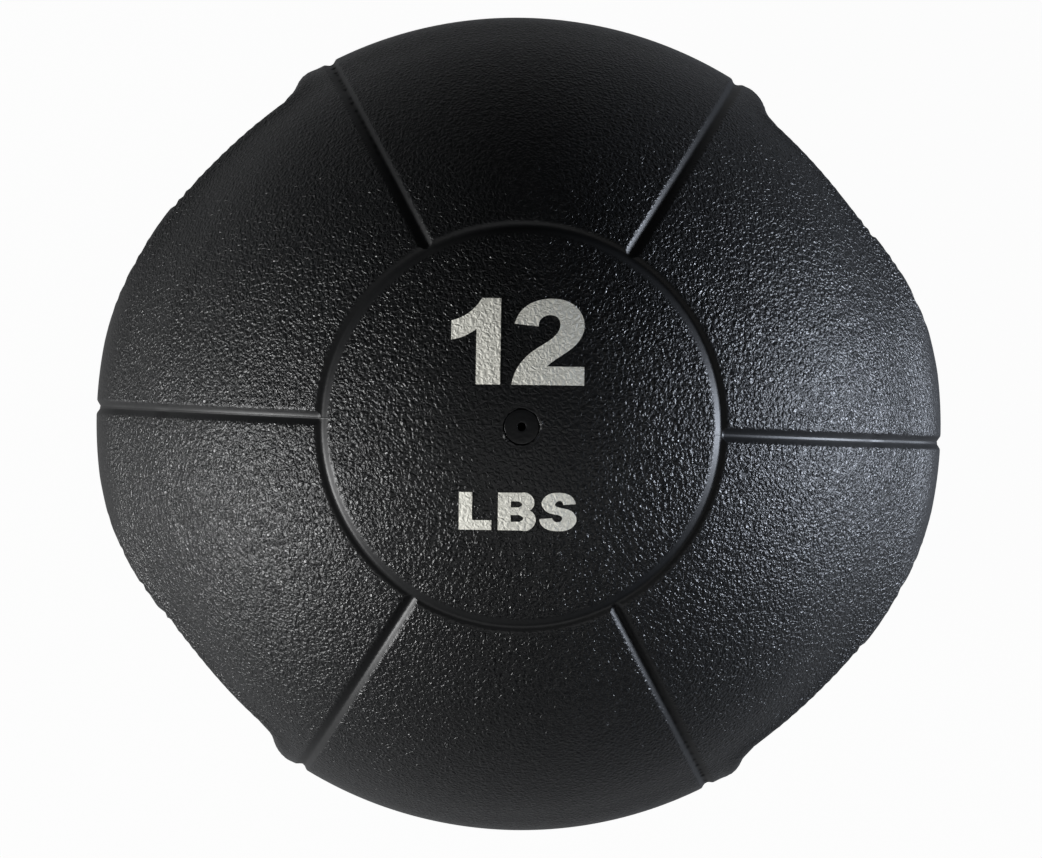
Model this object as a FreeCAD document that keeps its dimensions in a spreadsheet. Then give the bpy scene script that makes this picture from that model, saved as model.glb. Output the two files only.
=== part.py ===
"""A dual-grip rubber medicine ball, marked 12 lb, as its separate pieces.

The origin is the ball's centre. +Z runs up through the needle valve, the two handles stand on
the X axis, and the mould's parting plane is y = 0. The layers are cut from nested forms: the
outer form, and the same ball and hand recesses again at the depth of each layer's inner face.
"""

import FreeCAD, Part
import os
import Sketcher

SIZES = {
    # the outer form
    "ball_radius": 140,
    "handle_proud": 1,
    "handle_face_half": 46,
    "shoulder_radius": 40,
    "shoulder_height": 82,
    "shoulder_sink": 1.5,
    "bulge_half": 46,
    # the hand recesses and their bars
    "recess_depth": 61,
    "recess_half": 56,
    "recess_corner": 14,
    "bar_thick": 31,
    "bar_waist": 18,
    "bar_root": 72,
    # the layers, from the outside in
    "cover_wall": 6,
    "weight_wall": 11.2,
    "bladder_wall": 2,
    "patch_wall": 1.5,
    # the moulded grooves
    "groove_width": 3.2,
    "groove_depth": 1.6,
    "cap_radius": 57.6,
    "cap_width": 2.8,
    # the needle valve
    "needle_radius": 1.2,
    "plug_radius": 3,
    "head_radius": 4.95,
    "lip_depth": 2.5,
    "flange_radius": 16,
    "flange_wall": 3,
    "patch_radius": 28,
    # the core inside each bar
    "core_radius": 8,
    "core_half": 50,
    "core_skin": 11,
    # the printed marks
    "print_wall": 0.15,
    "print_turn": 1.7,
    "print_shift": -1.6,
    "digit_height": 24.6,
    "digit_base": 11.8,
    "letter_height": 10.75,
    "letter_base": -29.4,
    # worked out from the sizes above
    "clear_of_ball": "=ball_radius + 20",
    "handle_reach": "=ball_radius + handle_proud",
    "slot_edge": "=handle_reach - bar_thick",
    "recess_wall": "=ball_radius - recess_depth",
    "shoulder_reach": "=sqrt((ball_radius - shoulder_sink) ^ 2 - shoulder_height ^ 2)",
    "scoop_rise": "=recess_half + cover_wall",
    "scoop_radius": "=((bar_root - bar_waist) ^ 2 + scoop_rise ^ 2) / (2 * (bar_root - bar_waist))",
    "weight_inset": "=cover_wall + weight_wall",
    "bladder_inset": "=weight_inset + bladder_wall",
    "core_place": "=handle_reach - core_skin - core_radius",
}

GROOVE_TURNS = (0, 60, 120)

# Glyphs at a height of 1, each a list of closed loops. A loop is a list of runs that share
# their end points: two points are a straight run, and more are a smooth curve through them.
ONE = [[
    [(0.29, 0), (0.57, 0)],
    [(0.57, 0), (0.57, 1)],
    [(0.57, 1), (0.35, 1)],
    [(0.35, 1), (0.24, 0.86), (0, 0.735)],
    [(0, 0.735), (0, 0.515)],
    [(0, 0.515), (0.15, 0.555), (0.29, 0.64)],
    [(0.29, 0.64), (0.29, 0)],
]]
TWO = [[
    [(0, 0), (0.835, 0)],
    [(0.835, 0), (0.835, 0.215)],
    [(0.835, 0.215), (0.405, 0.215)],
    [(0.405, 0.215), (0.62, 0.375), (0.77, 0.51), (0.835, 0.69), (0.745, 0.905), (0.43, 1),
     (0.155, 0.905), (0.033, 0.705)],
    [(0.033, 0.705), (0.308, 0.675)],
    [(0.308, 0.675), (0.34, 0.77), (0.435, 0.81), (0.53, 0.775), (0.555, 0.68), (0.5, 0.575),
     (0.386, 0.484), (0.21, 0.365), (0.075, 0.21), (0, 0)],
]]
ELL = [[
    [(0, 0), (0.86, 0)],
    [(0.86, 0), (0.86, 0.26)],
    [(0.86, 0.26), (0.35, 0.26)],
    [(0.35, 0.26), (0.35, 1)],
    [(0.35, 1), (0, 1)],
    [(0, 1), (0, 0)],
]]
BEE = [
    [
        [(0, 0), (0.62, 0)],
        [(0.62, 0), (0.9, 0.07), (1, 0.28), (0.95, 0.44), (0.83, 0.53)],
        [(0.83, 0.53), (0.92, 0.61), (0.96, 0.74), (0.88, 0.92), (0.62, 1)],
        [(0.62, 1), (0, 1)],
        [(0, 1), (0, 0)],
    ],
    [
        [(0.34, 0.23), (0.56, 0.23)],
        [(0.56, 0.23), (0.67, 0.32), (0.56, 0.41)],
        [(0.56, 0.41), (0.34, 0.41)],
        [(0.34, 0.41), (0.34, 0.23)],
    ],
    [
        [(0.34, 0.61), (0.54, 0.61)],
        [(0.54, 0.61), (0.64, 0.69), (0.54, 0.77)],
        [(0.54, 0.77), (0.34, 0.77)],
        [(0.34, 0.77), (0.34, 0.61)],
    ],
]
ESS = [[
    [(0.955, 0.715), (0.85, 0.91), (0.5, 1.01), (0.17, 0.92), (0.06, 0.71), (0.19, 0.51),
     (0.46, 0.425), (0.6, 0.36), (0.585, 0.27), (0.455, 0.235), (0.345, 0.335)],
    [(0.345, 0.335), (0, 0.31)],
    [(0, 0.31), (0.13, 0.08), (0.48, -0.01), (0.86, 0.08), (0.985, 0.31), (0.87, 0.51),
     (0.56, 0.61), (0.41, 0.69), (0.49, 0.785), (0.63, 0.69)],
    [(0.63, 0.69), (0.955, 0.715)],
]]
# Each glyph with the place of its left edge, as a share of its line's height.
DIGITS = [(ONE, -0.76), (TWO, -0.06)]
LETTERS = [(ELL, -1.48), (BEE, -0.45), (ESS, 0.64)]

doc = FreeCAD.newDocument("medicine_ball")
sheet = doc.addObject("Spreadsheet::Sheet", "Sizes")


def fill_sheet():
    """One row for each size: its name, then its value under the same name as its alias."""
    for row, (name, value) in enumerate(SIZES.items(), start=1):
        sheet.set(f"A{row}", name)
        sheet.set(f"B{row}", str(value))
        sheet.setAlias(f"B{row}", name)
    doc.recompute()


def bind(thing, **expressions):
    for name, expression in expressions.items():
        thing.setExpression(name, expression)
    return thing


# Part primitives and booleans


def join(kind, name, parts):
    """A MultiFuse, MultiCommon or Compound of the parts."""
    joined = doc.addObject(f"Part::{kind}", name)
    if kind == "Compound":
        joined.Links = parts
    else:
        joined.Shapes = parts
    return joined


def cut(name, stock, tool):
    carved = doc.addObject("Part::Cut", name)
    carved.Base = stock
    carved.Tool = tool
    return carved


def mirrored(source):
    """The same thing on the other handle's side."""
    twin = doc.addObject("Part::Mirroring", source.Name + "_left")
    twin.Source = source
    twin.Normal = FreeCAD.Vector(1, 0, 0)
    return twin


def both_sides(name, source):
    return join("Compound", name, [source, mirrored(source)])


def quarter_turn():
    """Turns a round form about the pole so that its seam lies between the grooves and the bars."""
    return FreeCAD.Rotation(FreeCAD.Vector(0, 0, 1), 90)


def ball(name, inset="0"):
    made = doc.addObject("Part::Sphere", name)
    made.Placement.Rotation = quarter_turn()
    return bind(made, Radius=f"Sizes.ball_radius - ({inset})")


def pole_cylinder(name, radius, low, high):
    """A cylinder on the valve's axis between two heights."""
    made = doc.addObject("Part::Cylinder", name)
    bind(made, Radius=radius, Height=f"({high}) - ({low})")
    made.setExpression(".Placement.Base.z", low)
    return made


# PartDesign bodies


def polygon_sketch(body, corners):
    """A closed polygon on the body's XZ plane, with each corner's place bound to the sheet."""
    sketch = body.newObject("Sketcher::SketchObject", body.Name + "_sketch")
    plane = next(p for p in body.Origin.OriginFeatures if p.Role == "XZ_Plane")
    sketch.AttachmentSupport = (plane, "")
    sketch.MapMode = "FlatFace"
    places = [[float(sheet.evalExpression(value)) for value in corner] for corner in corners]
    points = [FreeCAD.Vector(x, y, 0) for x, y in places]
    for start, end in zip(points, points[1:] + points[:1]):
        sketch.addGeometry(Part.LineSegment(start, end))
    for i, corner in enumerate(corners):
        before = (i - 1) % len(corners)
        sketch.addConstraint(Sketcher.Constraint("Coincident", before, 2, i, 1))
        for way, place, value in zip("XY", places[i], corner):
            index = sketch.addConstraint(Sketcher.Constraint("Distance" + way, -1, 1, i, 1, place))
            sketch.setExpression(f"Constraints[{index}]", value)
    return sketch


def round_edges(body, solid, wanted, radius):
    """A fillet on every edge of the solid that the test picks."""
    doc.recompute()
    names = [f"Edge{i}" for i, edge in enumerate(solid.Shape.Edges, start=1) if wanted(edge)]
    fillet = body.newObject("PartDesign::Fillet", body.Name + "_fillet")
    fillet.Base = (solid, names)
    bind(fillet, Radius=radius)
    solid.Visibility = False


def prism(name, corners, thickness):
    """A polygon of the XZ plane, thickened evenly to both sides of it."""
    body = doc.addObject("PartDesign::Body", name)
    pad = body.newObject("PartDesign::Pad", name + "_pad")
    pad.Profile = polygon_sketch(body, corners)
    pad.SideType = "Symmetric"
    bind(pad, Length=thickness)
    return body, pad


def runs_along_y(edge):
    along = edge.lastVertex().Point - edge.firstVertex().Point
    return abs(along.x) < 1e-6 and abs(along.z) < 1e-6


def rounded_block(name, near, far, half, corner):
    """A block right across the ball along Y, with its long edges rounded."""
    corners = [(near, f"-({half})"), (far, f"-({half})"), (far, half), (near, half)]
    body, pad = prism(name, corners, "2 * Sizes.clear_of_ball")
    round_edges(body, pad, runs_along_y, corner)
    return body


def bulge(name, inset="0"):
    """The drum that stands proud of the ball at both handles, as wide as the bars' roots."""
    upper = [(f"Sizes.handle_reach - ({inset})", "Sizes.handle_face_half")]
    upper += [(f"Sizes.shoulder_reach - ({inset})", "Sizes.shoulder_height"), ("0", "Sizes.shoulder_height")]
    lower = [(x, "-" + z) for x, z in reversed(upper)]
    body = doc.addObject("PartDesign::Body", name + "_drum")
    drum = body.newObject("PartDesign::Revolution", name + "_turned")
    drum.Profile = polygon_sketch(body, lower + upper)
    drum.ReferenceAxis = (drum.Profile[0], ["V_Axis"])
    drum.Angle = 360

    def on_shoulder(edge):
        face_half = sheet.handle_face_half
        return isinstance(edge.Curve, Part.Circle) and abs(abs(edge.Curve.Center.z) - face_half) < 1e-6

    round_edges(body, drum, on_shoulder, "Sizes.shoulder_radius")
    body.Placement.Rotation = quarter_turn()
    edge = "Sizes.clear_of_ball"
    square = [("-" + edge, "-" + edge), (edge, "-" + edge), (edge, edge), ("-" + edge, edge)]
    slab, _ = prism(name + "_slab", square, f"2 * (Sizes.bulge_half - ({inset}))")
    return join("MultiCommon", name, [body, slab])


# The nested forms


def hollow_form(name, inset):
    """The ball at a depth below its surface, kept as far away from the hand recesses."""
    recess = rounded_block(
        name + "_recess",
        f"Sizes.recess_wall - {inset}",
        "Sizes.clear_of_ball",
        f"Sizes.recess_half + {inset}",
        f"Sizes.recess_corner + {inset}",
    )
    return cut(name, ball(name + "_ball", inset), both_sides(name + "_recesses", recess))


def scoops():
    """The recesses beside the bars: a recess block, only as far as a round scoop to each side."""
    rounds = []
    for place, sign in (("front", "-"), ("rear", "")):
        scoop = doc.addObject("Part::Cylinder", "scoop_" + place)
        bind(scoop, Radius="Sizes.scoop_radius", Height="2 * Sizes.clear_of_ball")
        scoop.Placement.Rotation = FreeCAD.Rotation(FreeCAD.Vector(0, 1, 0), 90)
        scoop.setExpression(".Placement.Base.x", "-Sizes.clear_of_ball")
        scoop.setExpression(".Placement.Base.y", sign + "(Sizes.bar_waist + Sizes.scoop_radius)")
        rounds.append(scoop)
    block = rounded_block(
        "recess", "Sizes.recess_wall", "Sizes.clear_of_ball", "Sizes.recess_half", "Sizes.recess_corner"
    )
    blocks = both_sides("recesses", block)
    return [join("MultiCommon", f"{scoop.Name}_pair", [blocks, scoop]) for scoop in rounds]


def outer_form():
    """The ball with its two bulges, less the scoops and the hand slots behind the bars."""
    slot = rounded_block(
        "hand_slot", "Sizes.recess_wall", "Sizes.slot_edge", "Sizes.recess_half", "Sizes.recess_corner"
    )
    stock = join("MultiFuse", "outer_stock", [ball("outer_ball"), bulge("bulge")])
    hollows = join("MultiFuse", "hand_hollows", scoops() + [slot, mirrored(slot)])
    return cut("outer_form", stock, hollows)


def grooves():
    """The three great circles outside the cap rings, and the ring around each pole."""
    edge = "Sizes.clear_of_ball"
    bore = pole_cylinder("cap_bore", "Sizes.cap_radius - Sizes.cap_width / 2", "-" + edge, edge)
    rim = pole_cylinder("cap_rim", "Sizes.cap_radius + Sizes.cap_width / 2", "-" + edge, edge)
    square = [("-" + edge, "-" + edge), (edge, "-" + edge), (edge, edge), ("-" + edge, edge)]
    slabs = []
    for turn in GROOVE_TURNS:
        slab, _ = prism(f"slab_{turn}", square, "Sizes.groove_width")
        slab.Placement.Rotation = FreeCAD.Rotation(FreeCAD.Vector(0, 0, 1), turn)
        slabs.append(cut(f"slab_{turn}_ring", slab, bore))
    stock = join("MultiFuse", "groove_stock", slabs + [cut("cap_ring", rim, bore)])
    floor = [ball("groove_ball", "Sizes.groove_depth"), bulge("groove_bulge", "Sizes.groove_depth")]
    return cut("grooves", stock, join("MultiFuse", "groove_floor", floor))


# The pieces


def split(piece, whole):
    """The layer in two at the parting plane."""
    halves = []
    for place, low in (("front", "-Sizes.clear_of_ball"), ("rear", "0")):
        space = doc.addObject("Part::Box", f"{piece}_{place}_space")
        bind(space, Length="2 * Sizes.clear_of_ball", Width="Sizes.clear_of_ball")
        bind(space, Height="2 * Sizes.clear_of_ball")
        for way, value in (("x", "-Sizes.clear_of_ball"), ("y", low), ("z", "-Sizes.clear_of_ball")):
            space.setExpression(".Placement.Base." + way, value)
        halves.append(join("MultiCommon", f"{piece}_{place}", [whole, space]))
    return halves


def handle_core():
    core = doc.addObject("Part::Cylinder", "handle_core_right")
    bind(core, Radius="Sizes.core_radius", Height="2 * Sizes.core_half")
    core.setExpression(".Placement.Base.x", "Sizes.core_place")
    core.setExpression(".Placement.Base.z", "-Sizes.core_half")
    return core


def valve(inside, needle):
    """The housing's blank, the housing and its plug, from the surface to the bladder."""
    deep, edge = "Sizes.ball_radius / 2", "Sizes.clear_of_ball"
    flange_top = ball("flange_ball", "Sizes.weight_inset - Sizes.flange_wall")
    neck = pole_cylinder("valve_neck", "Sizes.head_radius", deep, edge)
    head = join("MultiCommon", "valve_head", [neck, ball("head_ball")])
    disc = pole_cylinder("valve_disc", "Sizes.flange_radius", deep, edge)
    flange = join("MultiCommon", "valve_flange", [disc, flange_top])
    blank = cut("valve_blank", join("MultiFuse", "valve_stock", [head, flange]), inside)
    bar = pole_cylinder("plug_bar", "Sizes.plug_radius", deep, "Sizes.ball_radius - Sizes.lip_depth")
    plug_blank = cut("plug_blank", bar, inside)
    bored = join("MultiFuse", "valve_bore", [plug_blank, needle])
    return blank, cut("valve_housing", blank, bored), cut("valve_plug", plug_blank, needle)


def valve_patch(needle):
    disc = pole_cylinder("patch_disc", "Sizes.patch_radius", "Sizes.ball_radius / 2", "Sizes.clear_of_ball")
    lid = join("MultiCommon", "patch_lid", [disc, ball("patch_outer", "Sizes.bladder_inset")])
    inner = ball("patch_inner", "Sizes.bladder_inset + Sizes.patch_wall")
    return cut("valve_patch", cut("patch_blank", lid, inner), needle)


def run_edge(run, place):
    """A run of a glyph as one edge."""
    points = [place(x, y) for x, y in run]
    if len(points) == 2:
        return Part.makeLine(*points)
    curve = Part.BSplineCurve()
    curve.interpolate(points)
    return curve.toShape()


def printed_line(name, glyphs, height, base):
    """Glyphs as thin ink on the ball, in one line that is turned a little about the pole."""
    tall, low, shift = sheet.get(height), sheet.get(base), sheet.print_shift
    radius = sheet.ball_radius
    skin = Part.makeSphere(radius + sheet.print_wall).cut(Part.makeSphere(radius))
    solids = []
    for loops, left in glyphs:
        def place(x, y, left=left):
            return FreeCAD.Vector(shift + (left + x) * tall, low + y * tall, 0)

        wires = [Part.Wire([run_edge(run, place) for run in loop]) for loop in loops]
        face = Part.makeFace(wires, "Part::FaceMakerBullseye")
        solids += face.extrude(FreeCAD.Vector(0, 0, 2 * radius)).common(skin).Solids
    ink = doc.addObject("Part::Feature", name)
    ink.Shape = Part.makeCompound(solids)
    ink.Placement = FreeCAD.Placement(
        FreeCAD.Vector(0, 0, 0), FreeCAD.Rotation(FreeCAD.Vector(0, 0, 1), sheet.print_turn)
    )
    return ink


def build_pieces():
    """Every sub-part, by the name of its node."""
    needle = pole_cylinder(
        "needle", "Sizes.needle_radius", "Sizes.ball_radius / 2", "Sizes.clear_of_ball"
    )
    under_cover = hollow_form("under_cover", "Sizes.cover_wall")
    under_weight = hollow_form("under_weight", "Sizes.weight_inset")
    air = hollow_form("air", "Sizes.bladder_inset")
    core = handle_core()
    other_core = mirrored(core)
    blank, housing, plug = valve(ball("valve_floor", "Sizes.weight_inset"), needle)
    hollows = join("MultiFuse", "cover_hollows", [under_cover, core, other_core, blank, grooves()])
    cover_halves = split("cover", cut("cover", outer_form(), hollows))
    weight_hollow = join("MultiFuse", "weight_hollow", [under_weight, blank])
    weight_halves = split("weight", cut("weight", under_cover, weight_hollow))
    air_way = join("MultiFuse", "air_way", [air, needle])
    return {
        "cover_front_half": cover_halves[0],
        "cover_rear_half": cover_halves[1],
        "weight_layer_front": weight_halves[0],
        "weight_layer_rear": weight_halves[1],
        "bladder": cut("bladder", under_weight, air_way),
        "valve_housing": housing,
        "valve_plug": plug,
        "valve_patch": valve_patch(needle),
        "handle_core_right": core,
        "handle_core_left": other_core,
        "weight_digits": printed_line("weight_digits", DIGITS, "digit_height", "digit_base"),
        "weight_unit": printed_line("weight_unit", LETTERS, "letter_height", "letter_base"),
    }


def check(pieces):
    """Stops on any object that failed to compute and any piece that isn't a sound solid."""
    for thing in doc.Objects:
        if {"Invalid", "Error"} & set(thing.State):
            raise RuntimeError(f"{thing.Name} failed: {thing.State}")
    for name, piece in pieces.items():
        shape = piece.Shape
        if shape.isNull() or not shape.isValid() or not shape.Solids:
            raise RuntimeError(f"{name} isn't a valid solid")


fill_sheet()
pieces = build_pieces()
for node, piece in pieces.items():
    piece.Label = node
doc.recompute()
check(pieces)
os.makedirs("parts", exist_ok=True)
for node, piece in pieces.items():
    piece.Shape.exportStep(f"parts/{node}.step")
    print(f"{node}: {len(piece.Shape.Solids)} solid, {piece.Shape.Volume / 1000:.2f} cm3")
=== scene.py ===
"""A dual-grip rubber medicine ball: a grained cover in two halves, its valve and its printed marks.

The cover's outer and inner faces come from one distance field, in metres, in the row frame: the
origin is the ball's centre, +Z runs up through the valve and the handles stand on the X axis.
"""

import math

import bmesh
import bpy
import numpy as np
from mathutils import Matrix, Vector

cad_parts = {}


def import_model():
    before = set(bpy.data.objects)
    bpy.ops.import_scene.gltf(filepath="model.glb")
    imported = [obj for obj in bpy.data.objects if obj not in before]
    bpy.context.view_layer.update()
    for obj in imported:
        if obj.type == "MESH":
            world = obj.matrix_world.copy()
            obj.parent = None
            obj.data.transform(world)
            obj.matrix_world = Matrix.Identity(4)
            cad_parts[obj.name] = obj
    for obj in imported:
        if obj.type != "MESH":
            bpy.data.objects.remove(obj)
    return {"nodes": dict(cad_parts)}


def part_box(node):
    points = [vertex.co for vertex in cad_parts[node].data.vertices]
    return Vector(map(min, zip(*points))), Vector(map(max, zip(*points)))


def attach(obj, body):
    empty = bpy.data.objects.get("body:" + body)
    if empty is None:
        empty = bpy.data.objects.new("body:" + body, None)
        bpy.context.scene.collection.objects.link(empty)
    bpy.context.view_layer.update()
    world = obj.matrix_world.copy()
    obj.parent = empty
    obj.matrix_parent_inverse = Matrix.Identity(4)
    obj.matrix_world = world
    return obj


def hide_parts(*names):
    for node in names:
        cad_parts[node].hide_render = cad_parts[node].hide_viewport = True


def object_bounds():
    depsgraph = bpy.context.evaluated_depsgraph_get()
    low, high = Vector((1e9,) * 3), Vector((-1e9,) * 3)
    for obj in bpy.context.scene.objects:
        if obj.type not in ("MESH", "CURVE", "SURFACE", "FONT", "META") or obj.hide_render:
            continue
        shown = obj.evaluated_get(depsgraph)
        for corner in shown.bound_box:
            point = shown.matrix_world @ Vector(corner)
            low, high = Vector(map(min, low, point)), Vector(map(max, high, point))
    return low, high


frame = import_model()
CAD_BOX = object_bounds()

MM = 0.001
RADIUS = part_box("cover_rear_half")[1][1]
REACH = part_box("cover_rear_half")[1][0]
FAR = 1.0  # a distance that stands for nowhere near
SAME = 1e-6  # places closer than this are one place
FACING = 0.999  # a face's normal that points along an axis

# the bars' bulges: how far they sink into the ball, between which angles from the bar, in degrees,
# and how much of that drop changes from one side of a bar to the other
FACE_TRIM = 0.5 * MM
SHOULDER_SLOPE = math.radians(39)
SHOULDER_ROUND = 10 * MM
SHOULDER_TOP_ROUND = 8 * MM
BULGE_DROP = 6 * MM
BULGE_FADE = (14, 54)
BULGE_BLEND = 3 * MM
DROP_LEAN = 0.22

# the hand recesses: the block cut away, and how far its wall and its ends lean
RECESS_WALL = 80 * MM
RECESS_HALF = 54.6 * MM
RECESS_ROUND = 8 * MM
WALL_LEAN = 0.8 * MM
HALF_LEAN = 1.3 * MM

# the slot behind a bar and the scoops beside it, which leave the bar narrow at its waist
BAR_THICK = 31 * MM
WAIST_HALF = 18 * MM
SLOT_EDGE = REACH - BAR_THICK
SLOT_ROUND = 14 * MM
SCOOP_RADIUS = 62.6 * MM
SCOOP_PLACE = WAIST_HALF + SCOOP_RADIUS
SCOOP_ROUND = 8 * MM

# the rounds where the surface turns into a recess, large on the bars and small on the lips
LIP_ROUND = 2.5 * MM
BAR_ROUND = 10 * MM
BAR_EDGE = (8, 24)
BEAD_HEIGHT = 0.5 * MM
BEAD_PLACE = 3 * MM
BEAD_WIDTH = 2.4 * MM

# the moulded grooves: six down the ball and a ring round each cap
GROOVE_TURN = math.radians(60)
GROOVE_HALF = 2.5 * MM
GROOVE_DEPTH = 1.15 * MM
CAP_RADIUS = 57.6 * MM
CAP_HALF = 2.1 * MM
CAP_DEPTH = 0.8 * MM
CAP_START = 1 * MM

# the valve
HEAD_RADIUS = 4.95 * MM
HEAD_GAP = 0.01 * MM
HEAD_SINK = 0.05 * MM
HEAD_CROWN = 0.07 * MM
HEAD_EDGE = 0.2 * MM
FLANGE_THICK = 3.6 * MM
HOLE_EDGE = 0.12 * MM
NEEDLE_RADIUS = 1.2 * MM
LATHE_STEPS = 96

# the ridge of flash round the valve; each wave has its size, its count round the ridge and its start
FLASH_RADIUS = 5.4 * MM
FLASH_WIDTH = 0.24 * MM
FLASH_HEIGHT = 0.3 * MM
FLASH_WANDER = ((0.25 * MM, 2, 1), (0.12 * MM, 5, 0))
FLASH_SHARE = 0.45
FLASH_BREAKS = ((0.5, 3, 2.2), (0.4, 7, 0.5))

# the cover's inside
COVER_WALL = 6 * MM
INSIDE_ROUND = 6 * MM
WALL_ROUND = 0.5 * MM

# the meshes: the net's step, and how near a detail the net is made finer
NET_STEP = 2.6 * MM
NET_MARGIN = 5 * MM
FINE_REACH = 3 * MM
FINE_SKIN = 3 * MM
FINE_CAP_START = 2 * MM
FINE_RIM_SPARE = 1 * MM
RIM_REACHES = (2 * MM, 1.3 * MM)
SLOPE_STEP = 0.02 * MM
LEAST_STEEP = 0.05

# the grain's depth: where it starts beside a groove and a lip, inside a hand recess, round the valve
# and at the worn middle of a bar, whose reach is given by height and by the angle from the bar
GRAIN_BY_GROOVE = (1.4 * MM, 2.8 * MM)
GRAIN_BY_LIP = (0.5 * MM, 3.5 * MM)
GRAIN_IN_HAND = 0.55
HAND_START = 4 * MM
VALVE_GRAIN = 0.42
VALVE_FADE = (8 * MM, 44 * MM)
WEAR = 0.65
WEAR_HEIGHTS = (48 * MM, 72 * MM)
WEAR_TURNS = (10, 30)

# the surface patterns, in cells to the metre: the grain's, then the tone's and the gloss's
PEBBLES = 560
WRINKLES = 1080
LUMPS = 750
DRIFT = 500
DRIFT_REACH = 1.6 * MM
PORES = 900
SPECKS = 260
PATCHES = 9
BLOTCHES = 150
MOTTLES = 60
HIDDEN_PORES = 700

# how deep the patterns are in the rubber, in the print and on the hidden pieces
RUBBER_RELIEF = 0.42 * MM
INK_RELIEF = 0.22 * MM
HIDDEN_RELIEF = 0.05 * MM
PARTING_HALF = 0.35 * MM

# the finishes; a hidden piece's has its colour and its roughness
RUBBER_BLACK = (0.0048, 0.0051, 0.0055)
RUBBER_ROUGH = 0.22
RUBBER_SPECULAR = 0.3
INK_THIN = (0.68, 0.67, 0.6, 1)
INK_FULL = (0.84, 0.83, 0.75, 1)
INK_ROUGH = 0.55
WEIGHT_GREY = ((0.05, 0.05, 0.05), 0.8)
BUTYL_BLACK = ((0.02, 0.02, 0.02), 0.45)
NYLON_GREY = ((0.1, 0.1, 0.1), 0.4)

# the stage: each lamp's name, place, size, power and colour
FLOOR_SIZE = 12
FLOOR_GREY = (0.3, 0.3, 0.3, 1)
FLOOR_ROUGH = 0.9
FLOOR_GLOW = 0.97
WORLD_TINT = (0.92, 0.95, 1, 1)
WORLD_LEVEL = 0.035
WHITE = (1, 1, 1)
LAMPS = (
    ("left_bank", (-1.38, -0.5, 0.47), (0.4, 0.3), 36, WHITE),
    ("right_bank", (1.5, 0.03, 0.09), (0.3, 0.4), 38, (0.8, 0.87, 1)),
    ("front_edge", (0.1, -1.5, -0.02), (1.2, 0.2), 0.4, WHITE),
    ("overhead", (0.1, -1.0, 1.9), (1.4, 1.4), 7.5, WHITE),
)

# the camera: its lens, the axis it looks down, its roll, and where it sees the ball's centre
LENS, SENSOR = 68.7, 36
LOOK_AXIS = (0.008, -0.008, 1)
ROLL = math.radians(-2.45)
CENTRE_SEEN = (-0.0009, 0.00176, -5 * RADIUS)
CLIP_START = 0.01


# Distance fields


def smooth_max(a, b, soft):
    """The larger of two distances, rounded where they come within soft of each other."""
    near = np.maximum(soft - np.abs(a - b), 0) / soft
    return np.maximum(a, b) + near * near * soft / 4


def smooth_min(a, b, soft):
    """The smaller of two distances, rounded in the same way."""
    return -smooth_max(-a, -b, soft)


def ramp(value, low, high):
    """From 0 at low to 1 at high, easing at both ends."""
    t = np.clip((value - low) / (high - low), 0, 1)
    return t * t * (3 - 2 * t)


def hill(distance, width):
    """1 at no distance, falling away evenly on both sides."""
    return np.exp(-((distance / width) ** 2))


def waves(start, turn, terms):
    """A value that sways round the axis."""
    for size, count, phase in terms:
        start = start + size * np.sin(count * turn + phase)
    return start


def folded(points):
    """The places in one eighth of the ball, how far they are from the axis, and the side they lean to.

    The lean is 0 at the middle of a bar and half-way round to the other one, and 1 or -1 between those.
    """
    x, y, z = np.abs(points).T
    across = np.hypot(x, y)
    lean = 2 * points[:, 0] * points[:, 1] / np.maximum(across, MM) ** 2
    return x, y, z, across, lean


def from_axis(points):
    return np.hypot(points[:, 0], points[:, 1])


def turn_from_bar(x, y):
    """The angle round the axis from the middle of the nearer bar, in degrees."""
    return np.degrees(np.arctan2(y, x))


def on_top(points, value, below):
    """One value on the valve's side of the ball and another below it."""
    return np.where(points[:, 2] > 0, value, below)


def recess(x, z, lean):
    """Below zero inside the block that is cut away at each hand."""
    wall = RECESS_WALL - WALL_LEAN * lean
    half = RECESS_HALF + HALF_LEAN * lean
    return smooth_max(wall - x, z - half, RECESS_ROUND)


def hand_space(x, y, z, lean):
    """Below zero inside the scoops beside a bar and in the slot behind it."""
    block = recess(x, z, lean)
    scoop = np.hypot(y - SCOOP_PLACE, z) - SCOOP_RADIUS
    beside = smooth_max(block, scoop, SCOOP_ROUND)
    behind = smooth_max(block, x - SLOT_EDGE, SLOT_ROUND)
    return smooth_min(beside, behind, BAR_ROUND)


def bare_surface(x, y, z, across, lean):
    """The ball, with a bulge over each bar that sinks back into it towards the sides."""
    drop = BULGE_DROP * ramp(turn_from_bar(x, y), *BULGE_FADE) * (1 + DROP_LEAN * lean)
    sphere = np.hypot(across, z) - RADIUS
    face = across - (REACH - FACE_TRIM) + drop
    slope = math.cos(SHOULDER_SLOPE) * across + math.sin(SHOULDER_SLOPE) * z - RADIUS
    above = math.cos(SHOULDER_SLOPE) * z - math.sin(SHOULDER_SLOPE) * across
    drum = smooth_max(face, slope + drop, SHOULDER_ROUND)
    bulge = smooth_max(drum, above, SHOULDER_TOP_ROUND)
    return smooth_min(sphere, bulge, BULGE_BLEND)


def channel(distance, half):
    """A groove's section: 1 on its floor, 0 past its edges."""
    return 1 - ramp(np.abs(distance), 0, half)


def meridian_distance(x, y):
    """How far a place is from the nearest of the planes that the six grooves lie in."""
    slanted = x * math.sin(GROOVE_TURN) - y * math.cos(GROOVE_TURN)
    return np.minimum(y, np.abs(slanted))


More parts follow.
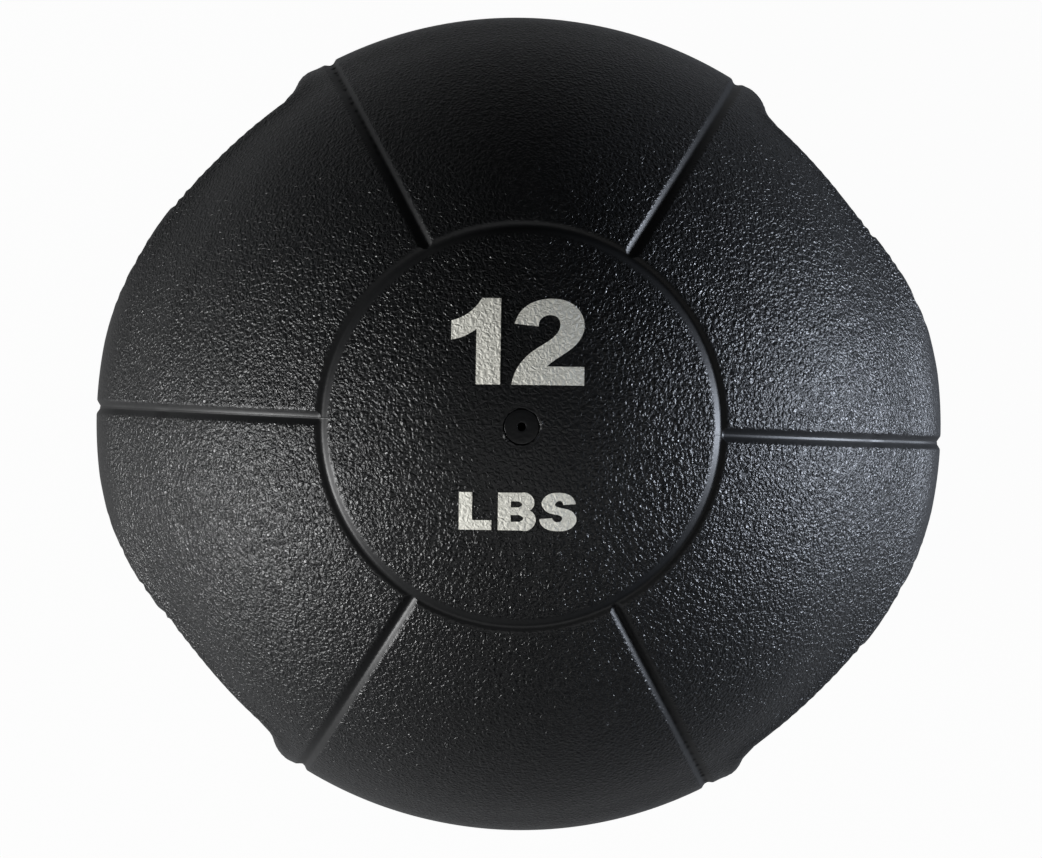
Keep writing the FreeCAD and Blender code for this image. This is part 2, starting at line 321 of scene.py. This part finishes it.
def groove_depths(x, y, across):
    """How deep the moulded grooves are: six that run down the ball and the ring round each cap."""
    outside_cap = ramp(across, CAP_RADIUS - CAP_START, CAP_RADIUS + CAP_START)
    down = GROOVE_DEPTH * channel(meridian_distance(x, y), GROOVE_HALF) * outside_cap
    return np.maximum(down, CAP_DEPTH * channel(across - CAP_RADIUS, CAP_HALF))


def valve_flash(points):
    """The height of the broken ridge of rubber that stands round the valve's head."""
    turn = np.arctan2(points[:, 1], points[:, 0])
    middle = waves(FLASH_RADIUS, turn, FLASH_WANDER)
    broken = np.clip(waves(FLASH_SHARE, turn, FLASH_BREAKS), 0, 1)
    ridge = FLASH_HEIGHT * broken * hill(from_axis(points) - middle, FLASH_WIDTH)
    return on_top(points, ridge, 0)


def outer_field(points, grooved=True):
    """Below zero inside the ball's outer surface."""
    x, y, z, across, lean = folded(points)
    surface = bare_surface(x, y, z, across, lean)
    hollow = hand_space(x, y, z, lean)
    surface = surface - BEAD_HEIGHT * hill(hollow - BEAD_PLACE, BEAD_WIDTH)
    if grooved:
        surface = surface + groove_depths(x, y, across) - valve_flash(points)
    edge = BAR_ROUND + (LIP_ROUND - BAR_ROUND) * ramp(turn_from_bar(x, y), *BAR_EDGE)
    return smooth_max(surface, -hollow, edge)


def inner_field(points):
    """Below zero inside the space that the cover encloses."""
    x, _, z, across, lean = folded(points)
    sphere = np.hypot(across, z) - (RADIUS - COVER_WALL)
    return smooth_max(sphere, COVER_WALL - recess(x, z, lean), INSIDE_ROUND)


def cover_field(points, grooved=True):
    """Below zero inside the cover's rubber, with the valve's hole through its top."""
    wall = smooth_max(outer_field(points, grooved), -inner_field(points), WALL_ROUND)
    hole = on_top(points, HEAD_RADIUS - from_axis(points), -RADIUS)
    return smooth_max(wall, hole, HOLE_EDGE)


def bare_cover(points):
    return cover_field(points, grooved=False)


def slope_of(field, points):
    """The field's gradient."""
    steps = np.eye(3) * SLOPE_STEP
    sides = [(field(points + step) - field(points - step)) / (2 * SLOPE_STEP) for step in steps]
    return np.stack(sides, axis=1)


def settle(field, points, rounds=4):
    """Moves the points onto the field's surface."""
    for _ in range(rounds):
        slope = slope_of(field, points)
        steep = np.maximum((slope * slope).sum(axis=1), LEAST_STEEP)
        points = points - slope * (field(points) / steep)[:, None]
    return points


# Meshes


def crossed_cells(inside):
    """The cells of a grid that have some corners inside the surface and some outside it."""
    last = len(inside) - 1
    corners = sum(
        inside[i : last + i, j : last + j, k : last + k].astype(int)
        for i in (0, 1) for j in (0, 1) for k in (0, 1)
    )
    return (corners > 0) & (corners < 8)


def quads_across(inside, number, axis):
    """A quad, facing outwards, round each of the grid's edges along an axis that the surface crosses."""
    change = inside != np.roll(inside, -1, axis)
    change[(slice(None),) * axis + (-1,)] = False
    places = np.argwhere(change)
    one, two = (axis + 1) % 3, (axis + 2) % 3
    around = []
    for a, b in ((-1, -1), (0, -1), (0, 0), (-1, 0)):
        cell = places.copy()
        cell[:, one] += a
        cell[:, two] += b
        around.append(number[tuple(cell.T)])
    quads = np.stack(around, axis=1)
    outward = inside[tuple(places.T)]
    quads[~outward] = quads[~outward][:, ::-1]
    return quads


def surface_net(field, reach, step):
    """A quad mesh close to a field's surface, with a corner in each cell of a grid that it crosses."""
    line = np.arange(-reach, reach + step, step)
    grid = np.stack(np.meshgrid(line, line, line, indexing="ij"), axis=-1)
    inside = (field(grid.reshape(-1, 3)) < 0).reshape(grid.shape[:3])
    crossed = crossed_cells(inside)
    number = np.full(crossed.shape, -1)
    number[crossed] = np.arange(crossed.sum())
    points = np.argwhere(crossed) * step - reach + step / 2
    quads = [quads_across(inside, number, axis) for axis in range(3)]
    return points, np.concatenate(quads)


def evened(points, quads, field, rounds=4):
    """Slides each corner towards the middle of its neighbours, along the surface."""
    pairs = np.concatenate([quads[:, [i, (i + 1) % 4]] for i in range(4)])
    one, two = pairs.T
    count = len(points)
    neighbours = np.bincount(one, minlength=count) + np.bincount(two, minlength=count)
    for _ in range(rounds):
        total = np.zeros_like(points)
        for way in range(3):
            total[:, way] = np.bincount(one, points[two, way], count)
            total[:, way] += np.bincount(two, points[one, way], count)
        points = settle(field, total / neighbours[:, None], 2)
    return points


def detail_distance(points):
    """How far a place is from the nearest groove or from the valve's rim, on the outer face."""
    x, y, z, across, lean = folded(points)
    down = np.where(across > CAP_RADIUS - FINE_CAP_START, meridian_distance(x, y), FAR)
    ring = np.abs(across - CAP_RADIUS)
    rim = on_top(points, np.abs(across - HEAD_RADIUS) + FINE_RIM_SPARE, FAR)
    near = np.minimum(np.minimum(down, ring), rim)
    outer = np.abs(bare_surface(x, y, z, across, lean)) < FINE_SKIN
    return np.where(outer, near, FAR)


def flash_distance(points):
    """How far a place is from the ridge round the valve, near the top of the ball."""
    high = points[:, 2] > RADIUS / 2
    return np.where(high, np.abs(from_axis(points) - FLASH_RADIUS), FAR)


def corner_places(bm):
    return np.array([v.co for v in bm.verts])


def refine(bm, distance, reach):
    """Halves the edges whose distance to some detail is within reach."""
    bm.verts.ensure_lookup_table()
    near = distance(corner_places(bm)) < reach
    edges = [e for e in bm.edges if near[e.verts[0].index] or near[e.verts[1].index]]
    bmesh.ops.subdivide_edges(bm, edges=edges, cuts=1, use_grid_fill=True)
    bm.verts.index_update()
    for v, place in zip(bm.verts, settle(cover_field, corner_places(bm), 3)):
        v.co = place


def cover_mesh():
    """The whole cover, before it is parted in two."""
    points, quads = surface_net(bare_cover, REACH + NET_MARGIN, NET_STEP)
    points = evened(settle(bare_cover, points), quads, bare_cover)
    mesh = bpy.data.meshes.new("cover")
    mesh.from_pydata(points.tolist(), [], quads.tolist())
    bm = bmesh.new()
    bm.from_mesh(mesh)
    bpy.data.meshes.remove(mesh)
    for reach in (FINE_REACH + NET_STEP, FINE_REACH):
        refine(bm, detail_distance, reach)
    for reach in RIM_REACHES:
        refine(bm, flash_distance, reach)
    return bm


def part_off(whole, side):
    """One half of the cover, closed along the parting plane."""
    bm = whole.copy()
    everything = bm.verts[:] + bm.edges[:] + bm.faces[:]
    outwards = (0, -side, 0)
    bmesh.ops.bisect_plane(
        bm, geom=everything, dist=SAME, plane_co=(0, 0, 0), plane_no=outwards, clear_outer=True
    )
    rim = [e for e in bm.edges if e.is_boundary]
    bmesh.ops.triangle_fill(bm, edges=rim, use_beauty=True, normal=outwards)
    return bm


def mesh_from(name, bm):
    mesh = bpy.data.meshes.new(name)
    bm.to_mesh(mesh)
    bm.free()
    return mesh


def mesh_points(mesh):
    points = np.empty(len(mesh.vertices) * 3)
    mesh.vertices.foreach_get("co", points)
    return points.reshape(-1, 3)


def add_object(name, mesh, materials):
    made = bpy.data.objects.new(name, mesh)
    bpy.context.scene.collection.objects.link(made)
    for material in materials:
        mesh.materials.append(material)
    return made


def smoothed(mesh):
    mesh.polygons.foreach_set("use_smooth", [True] * len(mesh.polygons))


def set_cover_normals(mesh):
    """Gives each corner the field's own normal, and leaves the parting face flat."""
    slope = slope_of(cover_field, mesh_points(mesh))
    slope /= np.linalg.norm(slope, axis=1)[:, None]
    corner_vertex = np.empty(len(mesh.loops), dtype=int)
    mesh.loops.foreach_get("vertex_index", corner_vertex)
    normals = slope[corner_vertex]
    for face in mesh.polygons:
        on_parting_plane = abs(face.normal.y) > FACING and abs(face.center.y) < SAME
        if on_parting_plane:
            normals[face.loop_start : face.loop_start + face.loop_total] = face.normal
    smoothed(mesh)
    mesh.normals_split_custom_set(normals.tolist())


def lathe(name, profile):
    """A turned piece about the Z axis, from a closed profile of (radius, height)."""
    bm = bmesh.new()
    turns = [2 * math.pi * i / LATHE_STEPS for i in range(LATHE_STEPS)]
    rings = []
    for radius, height in profile:
        ring = [(radius * math.cos(a), radius * math.sin(a), height) for a in turns]
        rings.append([bm.verts.new(place) for place in ring])
    for ring, following in zip(rings, rings[1:] + rings[:1]):
        for i in range(LATHE_STEPS):
            j = (i + 1) % LATHE_STEPS
            bm.faces.new((ring[i], ring[j], following[j], following[i]))
    bmesh.ops.recalc_face_normals(bm, faces=bm.faces)
    mesh = mesh_from(name, bm)
    smoothed(mesh)
    return mesh


# Materials


class Socket:
    """An output socket that takes part in arithmetic, adding the Math node for each step."""

    def __init__(self, nodes, socket):
        self.nodes, self.socket = nodes, socket

    def math(self, operation, *values):
        return self.nodes.node("ShaderNodeMath", {"operation": operation}, values)

    def __add__(self, other):
        return self.math("ADD", self, other)

    def __sub__(self, other):
        return self.math("SUBTRACT", self, other)

    def __mul__(self, other):
        return self.math("MULTIPLY", self, other)

    def __rsub__(self, other):
        return self.math("SUBTRACT", other, self)

    def __abs__(self):
        return self.math("ABSOLUTE", self)

    __radd__, __rmul__ = __add__, __mul__

    def between(self, low, high):
        """From 0 at low to 1 at high, easing at both ends."""
        easing = {"interpolation_type": "SMOOTHSTEP"}
        values = {"Value": self, "From Min": low, "From Max": high}
        return self.nodes.node("ShaderNodeMapRange", easing, values)


class Nodes:
    """The node tree of a material or of the world, with the shading node on its output."""

    def __init__(self, owner, surface):
        owner.use_nodes = True
        self.tree = owner.node_tree
        self.surface = self.tree.nodes[surface]

    def node(self, kind, settings=None, inputs=(), output=0):
        """A node of a type: its settings are set first, then its sockets' values or links."""
        made = self.tree.nodes.new(kind)
        for key, value in (settings or {}).items():
            setattr(made, key, value)
        for key, value in inputs.items() if isinstance(inputs, dict) else enumerate(inputs):
            self.feed(made.inputs[key], value)
        return Socket(self, made.outputs[output])

    def feed(self, socket, value):
        if isinstance(value, Socket):
            self.tree.links.new(value.socket, socket)
        else:
            socket.default_value = value

    def finish(self, **sockets):
        """Feeds the shading node, whose sockets are named with underlines for spaces."""
        for key, value in sockets.items():
            self.feed(self.surface.inputs[key.replace("_", " ")], value)


class Shader(Nodes):
    """A material with a Principled BSDF on its output."""

    def __init__(self, name):
        self.material = bpy.data.materials.new(name)
        super().__init__(self.material, "Principled BSDF")

    def place(self):
        return self.node("ShaderNodeTexCoord", output="Object")

    def attribute(self, name):
        return self.node("ShaderNodeAttribute", {"attribute_name": name}, output="Fac")

    def noise(self, scale, detail, output=0):
        values = {"Vector": self.place(), "Scale": scale, "Detail": detail}
        return self.node("ShaderNodeTexNoise", inputs=values, output=output)

    def cells(self, scale, place):
        """How far a place is from the creases between pebbles, in their own size."""
        values = {"Vector": place, "Scale": scale}
        return self.node("ShaderNodeTexVoronoi", {"feature": "DISTANCE_TO_EDGE"}, values)

    def mix(self, factor, one, two):
        """From one colour to another, which are the Mix node's seventh and eighth sockets."""
        return self.node("ShaderNodeMix", {"data_type": "RGBA"}, {0: factor, 6: one, 7: two}, output=2)

    def bump(self, height, distance):
        values = {"Height": height, "Distance": distance, "Strength": 1.0}
        return self.node("ShaderNodeBump", inputs=values)

    def finish(self, **sockets):
        super().finish(**sockets)
        return self.material


def grain_height(shader):
    """Leather grain: uneven pebbles of about two millimetres, with creases and finer wrinkles."""
    place = shader.place()
    drift = shader.noise(DRIFT, 2, output="Color")
    settings = {"operation": "MULTIPLY_ADD"}
    moved = shader.node("ShaderNodeVectorMath", settings, [drift, (DRIFT_REACH,) * 3, place])
    pebbles = shader.cells(PEBBLES, moved).between(0, 0.4)
    wrinkles = shader.cells(WRINKLES, moved).between(0, 0.42)
    return pebbles * 0.5 + wrinkles * 0.28 + shader.noise(LUMPS, 2) * 0.45


def parting_line(shader):
    """A fine raised line where the two halves meet."""
    aside = shader.node("ShaderNodeSeparateXYZ", inputs=[shader.place()], output="Y")
    return 1 - abs(aside).between(0, PARTING_HALF)


def lighter(colour, times, more):
    """A colour's lighter tone, with full alpha."""
    return (*[min(1, times * c + more) for c in colour], 1)


def rubber(name, grained=True):
    """Black rubber with dull patches and dusty specks; the cover's has grain and a parting line too."""
    shader = Shader(name)
    patches = shader.noise(PATCHES, 3)
    specks = shader.noise(SPECKS, 3)
    dust = patches.between(0.35, 0.8) * 0.35 + specks.between(0.55, 0.85) * 0.2
    tone = shader.mix(dust, (*RUBBER_BLACK, 1), lighter(RUBBER_BLACK, 1.9, 0.002))
    rough = RUBBER_ROUGH + patches * 0.08 + specks * 0.08
    height = shader.noise(PORES, 3) * 0.12
    if grained:
        grain = shader.attribute("grain")
        pebbles = grain_height(shader)
        height = pebbles * grain + height * 0.5 + parting_line(shader) * 0.08
        rough = rough + (1 - pebbles) * grain * 0.1 + (1 - grain) * 0.16
    normal = shader.bump(height, RUBBER_RELIEF)
    return shader.finish(
        Base_Color=tone, Roughness=rough, Normal=normal, Specular_IOR_Level=RUBBER_SPECULAR
    )


def ink():
    """White print that follows the grain under it and is thinner in the creases."""
    shader = Shader("print_ink")
    pebbles = grain_height(shader)
    blotch = shader.noise(BLOTCHES, 3)
    covered = (pebbles + blotch * 0.3).between(0.2, 0.75)
    tone = shader.mix(covered, INK_THIN, INK_FULL)
    normal = shader.bump(pebbles, INK_RELIEF)
    return shader.finish(Base_Color=tone, Roughness=INK_ROUGH + blotch * 0.1, Normal=normal)


def plain(name, colour, rough):
    """A hidden piece's moulded finish."""
    shader = Shader(name)
    mottle = shader.noise(MOTTLES, 4)
    tone = shader.mix(mottle, (*colour, 1), lighter(colour, 1.5, 0.01))
    normal = shader.bump(shader.noise(HIDDEN_PORES, 3), HIDDEN_RELIEF)
    return shader.finish(Base_Color=tone, Roughness=rough + mottle * 0.1, Normal=normal)


# The pieces


def grain_share(points):
    """How deep the grain is: none in the grooves and at rounded edges, shallow round the valve."""
    x, y, z, across, lean = folded(points)
    hollow = hand_space(x, y, z, lean)
    open_ground = ramp(detail_distance(points), *GRAIN_BY_GROOVE)
    clear_of_lip = ramp(hollow, *GRAIN_BY_LIP)
    in_hand = GRAIN_IN_HAND * (1 - ramp(hollow, -HAND_START, 0))
    from_valve = on_top(points, ramp(across, *VALVE_FADE), 1)
    round_valve = VALVE_GRAIN + (1 - VALVE_GRAIN) * from_valve
    worn = (1 - ramp(z, *WEAR_HEIGHTS)) * (1 - ramp(turn_from_bar(x, y), *WEAR_TURNS))
    return open_ground * np.maximum(clear_of_lip, in_hand) * round_valve * (1 - WEAR * worn)


def cover_half(whole, side, name, node, material):
    mesh = mesh_from(name, part_off(whole, side))
    grain = mesh.attributes.new("grain", "FLOAT", "POINT")
    grain.data.foreach_set("value", grain_share(mesh_points(mesh)))
    set_cover_normals(mesh)
    half = add_object(name, mesh, [material])
    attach(half, "root")
    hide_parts(node)


def valve_head(material):
    """The housing: a smooth head at the surface, a neck down to the bladder and a flange on it."""
    low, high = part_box("valve_housing")
    flange, foot = high[0], low[2]
    shoulder = foot + FLANGE_THICK
    top = RADIUS - HEAD_SINK
    brow_top = top - HEAD_CROWN
    edge = HEAD_EDGE
    side = HEAD_RADIUS - HEAD_GAP
    rounding = [math.radians(a) for a in range(0, 91, 15)]
    across = [edge * math.sin(a) for a in rounding]
    down = [edge * (1 - math.cos(a)) for a in rounding]
    mouth = [(NEEDLE_RADIUS + edge - a, top - d) for a, d in zip(across[::-1], down[::-1])]
    crown = [(r * HEAD_RADIUS, top - HEAD_CROWN * r * r) for r in (0.4, 0.5, 0.6, 0.7, 0.8)]
    brow = [(side - edge + a, brow_top - d) for a, d in zip(across, down)]
    body = [(side, shoulder), (flange - edge, shoulder - edge), (flange, shoulder - 2 * edge)]
    base = [(flange, foot + edge), (flange - edge, foot), (NEEDLE_RADIUS, foot)]
    head = add_object("valve_head", lathe("valve_head", mouth + crown + brow + body + base), [material])
    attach(head, "root")
    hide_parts("valve_housing")


def repaint(material, *nodes):
    """CAD nodes keep their shape and get a better finish."""
    for node in nodes:
        mesh = frame["nodes"][node].data
        mesh.materials.clear()
        mesh.materials.append(material)


def build_ball():
    cover = rubber("cover_rubber")
    whole = cover_mesh()
    cover_half(whole, -1, "cover_front", "cover_front_half", cover)
    cover_half(whole, 1, "cover_rear", "cover_rear_half", cover)
    whole.free()
    valve_head(rubber("valve_rubber", grained=False))
    repaint(ink(), "weight_digits", "weight_unit")
    repaint(plain("weight_rubber", *WEIGHT_GREY), "weight_layer_front", "weight_layer_rear")
    repaint(plain("bladder_rubber", *BUTYL_BLACK), "bladder", "valve_patch", "valve_plug")
    repaint(plain("core_nylon", *NYLON_GREY), "handle_core_left", "handle_core_right")


# The stage


def floor():
    """A pale floor that shows white to the camera and keeps some of the ball's shadow."""
    bm = bmesh.new()
    bmesh.ops.create_grid(bm, x_segments=1, y_segments=1, size=FLOOR_SIZE)
    bmesh.ops.translate(bm, verts=bm.verts, vec=(0, 0, CAD_BOX[0][2]))
    mesh = mesh_from("floor", bm)
    shader = Shader("pale_floor")
    shader.finish(Base_Color=FLOOR_GREY, Roughness=FLOOR_ROUGH, Specular_IOR_Level=0.0)
    glow = shader.node("ShaderNodeEmission", inputs={"Color": (1, 1, 1, 1), "Strength": 1.0})
    seen = shader.node("ShaderNodeLightPath", output="Is Camera Ray")
    lit = Socket(shader, shader.surface.outputs[0])
    mixed = shader.node("ShaderNodeMixShader", inputs=[seen * FLOOR_GLOW, lit, glow])
    shader.feed(shader.tree.nodes["Material Output"].inputs["Surface"], mixed)
    add_object("floor", mesh, [shader.material])


def soft_lamp(name, place_at, size, power, colour):
    """A lamp with a soft edge that looks at the ball's centre."""
    data = bpy.data.lights.new(name, "AREA")
    data.shape = "RECTANGLE"
    data.size, data.size_y = size
    data.energy = power
    data.color = colour
    lamp = bpy.data.objects.new(name, data)
    bpy.context.scene.collection.objects.link(lamp)
    lamp.location = place_at
    lamp.rotation_euler = (-Vector(place_at)).to_track_quat("-Z", "Y").to_euler()


def world():
    """White to the camera, and a weak even light on the ball."""
    made = bpy.data.worlds.new("studio")
    bpy.context.scene.world = made
    sky = Nodes(made, "Background")
    seen = sky.node("ShaderNodeLightPath", output="Is Camera Ray")
    levels = {"Value": seen, "To Min": WORLD_LEVEL, "To Max": 1.0}
    sky.finish(Color=WORLD_TINT, Strength=sky.node("ShaderNodeMapRange", inputs=levels))


def camera():
    """Over the valve, close in, with the ball turned a little about the line of sight."""
    data = bpy.data.cameras.new("camera")
    data.lens, data.sensor_width = LENS, SENSOR
    data.clip_start = CLIP_START
    made = bpy.data.objects.new("camera", data)
    bpy.context.scene.collection.objects.link(made)
    pole = Vector(LOOK_AXIS).normalized()
    right = Vector((math.cos(ROLL), math.sin(ROLL), 0))
    right = (right - pole * right.dot(pole)).normalized()
    turned = Matrix((right, pole.cross(right), pole)).transposed().inverted()
    centre = turned @ Vector(CENTRE_SEEN)
    made.matrix_world = Matrix.Translation(-centre) @ turned.to_4x4()
    bpy.context.scene.camera = made


def stage():
    floor()
    world()
    for lamp in LAMPS:
        soft_lamp(*lamp)
    camera()
    bpy.context.scene.view_settings.view_transform = "Standard"


build_ball()
stage()
